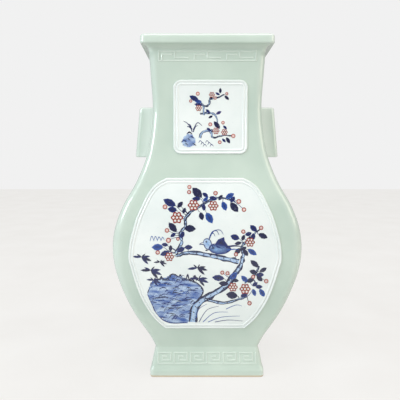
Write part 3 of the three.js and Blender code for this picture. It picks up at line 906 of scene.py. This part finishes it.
def paintBelly(turned):
    picture = bellyPicture
    random.seed(11)

    rock = Painting("BellyRock", 0.04)
    rock.wash([(150, 285), (161, 279), (172.5, 275), (183, 277), (189.7, 281), (198, 284), (203, 291),
               (199, 300),
               (193.5, 308), (193, 317), (187, 322.6), (170, 322.6), (158, 316), (152.5, 305),
               (147.5, 294)], "faint", "mid", 1.3)
    for _ in range(150):
        x, y = random.uniform(148, 199), random.uniform(279, 321)
        if not isInside(x + 3, y,
                        [(150, 283), (172, 275), (190, 281), (203, 292), (193, 310), (187, 322),
                         (160, 318), (147, 296)]):
            continue
        long, drop = random.uniform(3, 9), random.uniform(-3.2, 1.5)
        rock.stroke([(x, y), (x + long / 2, y + drop - 0.8), (x + long, y + drop)],
                    [0.3, random.uniform(0.6, 1.5), 0.3],
                    random.choice(["deep", "blue", "blue", "mid", "faint"]), steps=4)
    for i in range(16):
        x = 160 + i * 2.4
        rock.stroke([(x, 279.5 + random.uniform(-4, 1.5)), (x + 1.2, 278 + random.uniform(-4, 2)),
                     (x + 3, 281)],
                    [0.6, 1.8, 0.6], "deep", steps=3)
    outline = [(147.5, 293), (152, 284), (161, 278.6), (166, 279.5), (172.5, 274.1), (180, 277.5),
               (189.7, 280.5), (197, 283.5),
               (203, 291), (198, 300), (192.9, 308)]
    rock.stroke(outline, [0.8, 1.8, 1.1, 2.0, 1.0], "deep", steps=5)
    rock.stroke([(147.5, 294), (152.5, 305), (158, 316), (170, 322.6), (187, 322.6)], [0.9, 1.4, 0.8],
                "blue", steps=5)
    rock.stroke([(152, 299), (165, 297), (178, 301), (192, 299)], [0.7, 1.8, 0.8], "deep", steps=5)

    wood = Painting("BellyBranches", 0.1)
    for points, widths in picture["branches"]:
        wood.limb(points, widths)

    twigs = Painting("BellyTwigs", 0.08)
    bark = [place for points, _ in picture["branches"] for place in catmull(points, 5)]
    ends = [base for _, base in picture["leaves"]] + picture["smallLeaves"] + [bud[:2]
                                                                               for bud in picture["buds"]]
    ends += [flower[:2] for flower in picture["blossoms"]]
    for end in ends:
        root = min(bark, key=lambda place: math.dist(place, end))
        if 1.5 < math.dist(root, end) < picture["twigReach"]:
            bend = ((root[0] + end[0]) / 2, (root[1] + end[1]) / 2 + random.uniform(-1.5, 1.5))
            twigs.stroke([root, bend, end], [0.8, 0.5, 0.35], random.choice(["blue", "deep"]), steps=4)

    greens = Painting("BellyLeaves", 0.15)
    for tip, base in picture["leaves"]:
        greens.leaf(tip, base, random.choice(["blue", "deep", "deep", "mid"]), random.uniform(0.5, 0.66))
    for x, y in picture["smallLeaves"]:
        angle = random.uniform(0, 2 * math.pi)
        reach = random.uniform(2.7, 3.9)
        dx, dy = reach * math.cos(angle), reach * math.sin(angle)
        greens.leaf((x - dx, y - dy), (x + dx, y + dy), random.choice(["blue", "deep"]), 0.6)
    for x, y, size in picture["bamboo"]:
        for i in range(6):
            angle = math.radians(-160 + i * 42 + random.uniform(-9, 9))
            tip = (x + size * math.cos(angle), y + 0.62 * size * math.sin(angle) + size * 0.25)
            greens.leaf(tip, (x, y), random.choice(["blue", "deep", "deep"]), 0.27)
    for points in picture["grass"]:
        greens.stroke(points, [0.7, 0.5, 0.25], random.choice(["blue", "mid"]))
    for i in range(4):
        x = 150 + i * 3.6
        greens.stroke([(x, 241), (x + 1.8, 236 + i * 0.4), (x + 3.6, 240)], [0.4, 0.7, 0.4], "mid", steps=5)

    birds = Painting("BellyBirds", 0.2)
    birds.fill([(208.5, 249.5), (209.5, 246.5), (213, 244.4), (219, 244.8), (227, 246), (231, 249),
                (227, 252.6),
                (219, 254.2), (212, 252.8)], "blue", centre=(216, 249.4), middleInk="wash")
    birds.stroke([(208.2, 249.8), (211, 245), (217, 244), (226, 246.3), (231, 249), (225, 253.4),
                  (215, 254)],
                 [0.6, 0.8, 0.6], "blue")
    birds.fill([(215, 244), (218, 239.5), (224, 237), (224.8, 241), (228, 245.6), (222, 248.5),
                (217, 247.5)], "blue",
               centre=(221, 243), middleInk="deep")
    birds.stroke([(226, 247), (234, 245.8), (241, 246.4)], [2.2, 1.5, 0.5], "blue", edgeInk="deep")
    birds.stroke([(227, 250), (234, 249.2), (239, 249.6)], [1.4, 1.0, 0.4], "mid")
    birds.ring(213.2, 248, 0.8, 0.7, "deep", 8)
    birds.stroke([(208.6, 249), (205.6, 250.4), (208.4, 250.6)], [0.5, 0.9, 0.4], "deep")
    birds.fill([(203.2, 243), (204.2, 240), (206.8, 238.6), (209.6, 239.8), (211.4, 243), (212, 247),
                (209, 249.6),
                (205.6, 247.6)], "faint", centre=(207.5, 243.5), middleInk="wash")
    birds.stroke([(203.2, 243), (204.2, 240), (206.8, 238.6), (209.6, 239.8), (211.4, 243), (212, 247)],
                 [0.6, 0.9, 0.6], "blue")
    birds.stroke([(203.4, 242), (199.6, 244.2), (203.6, 244.6), (205.4, 247.8), (209, 249.8)],
                 [0.4, 0.9, 0.6], "blue")
    birds.ring(206.4, 241.6, 0.6, 0.6, "deep", 8)
    for reach, height in ((6, 6), (10, 8.6), (14.5, 9.4)):
        birds.stroke([(209, 239.6), (209 + reach * 0.3, 239 - height * 0.8),
                      (209 + reach * 0.75, 239.4 - height),
                      (209 + reach, 239.6 - height * 0.55)], [0.9, 0.8, 0.3], "mid", edgeInk="blue")

    flowers = Painting("BellyBlossoms", 0.25)
    hearts = Painting("BellyBlossomDots", 0.3)
    for x, y, radius in picture["blossoms"]:
        flowers.blossom(x, y, radius)
        hearts.dots(x, y, radius)
    for x, y, radius in picture["buds"]:
        flowers.bud(x, y, radius)
    for motif in (rock, twigs, wood, greens, birds, flowers, hearts):
        motif.build(turned)


# The neck's picture: a small spray, places given in the enlarged crop of the neck panel
neckCrop = {"left": 165.0, "top": 75.0, "scale": 18.447}


def inCrop(x, y):
    return neckCrop["left"] + x / neckCrop["scale"], neckCrop["top"] + y / neckCrop["scale"]


def paintNeck(turned):
    random.seed(5)
    wood = Painting("NeckBranches", 0.1)
    for points, widths in (
        ([(715, 740), (715, 600), (690, 540), (640, 470)], [1.0, 0.8, 0.3]),
        ([(650, 720), (850, 700), (950, 780), (960, 900)], [0.9, 1.1, 0.5]),
        ([(720, 570), (780, 570), (820, 510), (830, 440), (865, 400)], [0.8, 0.9, 0.4]),
        ([(860, 1000), (865, 1060), (870, 1160)], [0.8, 1.2, 0.6]),
        ([(640, 1160), (700, 1050), (830, 1035), (880, 1150), (1000, 1130)], [1.4, 1.6, 1.0, 0.5]),
        ([(830, 440), (960, 420), (1100, 360)], [0.7, 0.3]),
        ([(1000, 1130), (1110, 1110), (1260, 1125)], [0.8, 0.4]),
    ):
        wood.limb([inCrop(*p) for p in points], widths)

    rock = Painting("NeckRock", 0.05)
    rock.wash([inCrop(*p)
               for p in ((310, 1250), (340, 1150), (420, 1080), (500, 1100), (560, 1180), (550, 1290),
                                    (460, 1330), (360, 1320))], "faint", "mid", 0.8)
    for x, y in ((450, 1080), (380, 1290), (520, 1290), (420, 1200), (480, 1160), (350, 1230)):
        rock.stroke([inCrop(x - 50, y + 10), inCrop(x, y - 25), inCrop(x + 55, y + 15)], [0.4, 1.7, 0.4],
                    "deep", steps=4)
    for i in range(6):
        x, y = 650 + i * 42, 1230 + (i % 3) * 34
        rock.stroke([inCrop(x - 30, y + 20), inCrop(x, y - 20), inCrop(x + 34, y + 20)], [0.4, 0.7, 0.4],
                    "blue", steps=5)

    greens = Painting("NeckLeaves", 0.15)
    for tip, base, ink in (
        ((470, 395), (620, 470), "blue"), ((560, 480), (680, 500), "mid"),
        ((1020, 250), (1020, 340), "deep"),
        ((940, 330), (1010, 370), "blue"), ((1170, 450), (1100, 380), "deep"),
        ((950, 720), (1040, 670), "violet"),
        ((810, 790), (880, 750), "deep"), ((915, 870), (1010, 990), "deep"),
        ((1080, 940), (1140, 1000), "blue"),
        ((1190, 1250), (1130, 1150), "deep"), ((760, 640), (830, 700), "blue"),
        ((560, 540), (690, 560), "blue"),
        ((1060, 1180), (1120, 1240), "blue"), ((780, 980), (850, 1040), "blue"),
    ):
        greens.leaf(inCrop(*tip), inCrop(*base), ink, 0.5)
    for points in (((500, 1000), (410, 890), (340, 850)), ((520, 1010), (600, 880), (685, 940)),
                   ((410, 950), (450, 960), (480, 1000)),
                   ((500, 1050), (470, 930), (420, 900)), ((520, 1050), (560, 960), (610, 930))):
        greens.stroke([inCrop(*p) for p in points], [1.0, 0.8, 0.3], "blue", edgeInk="deep")

    flowers = Painting("NeckBlossoms", 0.25)
    hearts = Painting("NeckBlossomDots", 0.3)
    for x, y, radius in ((620, 610, 62), (865, 365, 58), (940, 1030, 66), (1095, 1055, 64), (925, 425, 36)):
        flowers.blossom(*inCrop(x, y), radius / neckCrop["scale"])
        hearts.dots(*inCrop(x, y), radius / neckCrop["scale"])
    for x, y, radius in ((605, 345, 35), (475, 480, 28), (1140, 345, 26), (835, 910, 35), (1070, 880, 30),
                         (1260, 1125, 38),
                         (1010, 1240, 32)):
        flowers.bud(*inCrop(x, y), radius / neckCrop["scale"])
    for motif in (rock, wood, greens, flowers, hearts):
        motif.build(turned)


for turned in (False, True):
    paintBelly(turned)
    paintNeck(turned)
print("painting made")


# Each lamp has its name, place, aim, size, power and colour
studio = {
    "floorHalf": 3.0,
    "floorRoughness": 0.8,
    "floorScale": 9.0,
    "floorDetail": 3.0,
    "floorDull": linear(226, 224, 221),
    "floorClear": linear(234, 233, 231),
    "floorGlow": 1.15,
    "floorLift": 0.85,           # how far the camera sees the floor at its own pale colour
    "lamps": [
        ("windowLamp", (-1.5, -0.9, 0.9), (0.0, 0.0, 0.2), 0.55, 15.0, (0.86, 0.94, 1.0)),
        ("warmLamp", (1.5, -0.6, 0.8), (0.0, 0.0, 0.2), 0.8, 6.5, (1.0, 0.93, 0.8)),
        ("topLamp", (0.1, -0.7, 1.7), (0.0, 0.0, 0.15), 1.4, 16.0, (1.0, 0.99, 0.97)),
    ],
    "fill": 0.45,
    "backdrop": 0.88,
    "backdropColour": (1.0, 1.0, 1.0, 1.0),
}


def makeFloor():
    half = studio["floorHalf"]
    mesh = bpy.data.meshes.new("floor")
    corners = [(-half, -half, 0), (half, -half, 0), (half, half, 0), (-half, half, 0)]
    mesh.from_pydata(corners, [], [(0, 1, 2, 3)])
    floor = linked("floor", mesh)
    material = bpy.data.materials.new("paleFloor")
    material.use_nodes = True
    tree = material.node_tree
    shader = tree.nodes["Principled BSDF"]
    shader.inputs["Roughness"].default_value = studio["floorRoughness"]
    place = nodeOf(tree, "ShaderNodeTexCoord").outputs["Object"]
    cloud = noiseOf(tree, place, studio["floorScale"], studio["floorDetail"])
    tone = mixOf(tree, cloud, studio["floorDull"], studio["floorClear"])
    tree.links.new(tone, shader.inputs["Base Color"])
    glow = nodeOf(tree, "ShaderNodeEmission", Strength=studio["floorGlow"])
    tree.links.new(tone, glow.inputs["Color"])
    seen = nodeOf(tree, "ShaderNodeMath", operation="MULTIPLY")
    seen.inputs[1].default_value = studio["floorLift"]
    tree.links.new(nodeOf(tree, "ShaderNodeLightPath").outputs["Is Camera Ray"], seen.inputs[0])
    blend = nodeOf(tree, "ShaderNodeMixShader")
    for index, source in enumerate((seen.outputs["Value"], shader.outputs["BSDF"],
                                    glow.outputs["Emission"])):
        tree.links.new(source, blend.inputs[index])
    tree.links.new(blend.outputs["Shader"], tree.nodes["Material Output"].inputs["Surface"])
    mesh.materials.append(material)


def makeLamps():
    for name, place, aim, size, power, colour in studio["lamps"]:
        lamp = bpy.data.lights.new(name, "AREA")
        lamp.shape = "SQUARE"
        lamp.size = size
        lamp.energy = power
        lamp.color = colour
        holder = linked(name, lamp)
        holder.location = place
        holder.rotation_euler = (Vector(aim) - Vector(place)).to_track_quat("-Z", "Y").to_euler()


# The world lights the vase plainly, and the camera sees it as a pale backdrop
def makeSurroundings():
    world = bpy.data.worlds.new("surroundings")
    world.use_nodes = True
    bpy.context.scene.world = world
    tree = world.node_tree
    path = nodeOf(tree, "ShaderNodeLightPath")
    seen = nodeOf(tree, "ShaderNodeMath", operation="MAXIMUM")
    tree.links.new(path.outputs["Is Camera Ray"], seen.inputs[0])
    tree.links.new(path.outputs["Is Transmission Ray"], seen.inputs[1])
    strength = nodeOf(tree, "ShaderNodeMapRange")
    strength.inputs["To Min"].default_value = studio["fill"]
    strength.inputs["To Max"].default_value = studio["backdrop"]
    tree.links.new(seen.outputs["Value"], strength.inputs["Value"])
    background = tree.nodes["Background"]
    background.inputs["Color"].default_value = studio["backdropColour"]
    tree.links.new(strength.outputs["Result"], background.inputs["Strength"])


def makeCamera():
    data = bpy.data.cameras.new("camera")
    data.sensor_width = cameraSetup["sensorWidth"]
    data.lens = cameraSetup["focalPixels"] / cameraSetup["imageSize"] * data.sensor_width
    camera = linked("camera", data)
    camera.location = cameraSetup["place"]
    camera.rotation_euler = (math.radians(90 - cameraSetup["pitch"]), 0, 0)
    bpy.context.scene.camera = camera


makeFloor()
makeLamps()
makeSurroundings()
makeCamera()
bpy.context.scene.view_settings.view_transform = "Standard"
print("studio made")
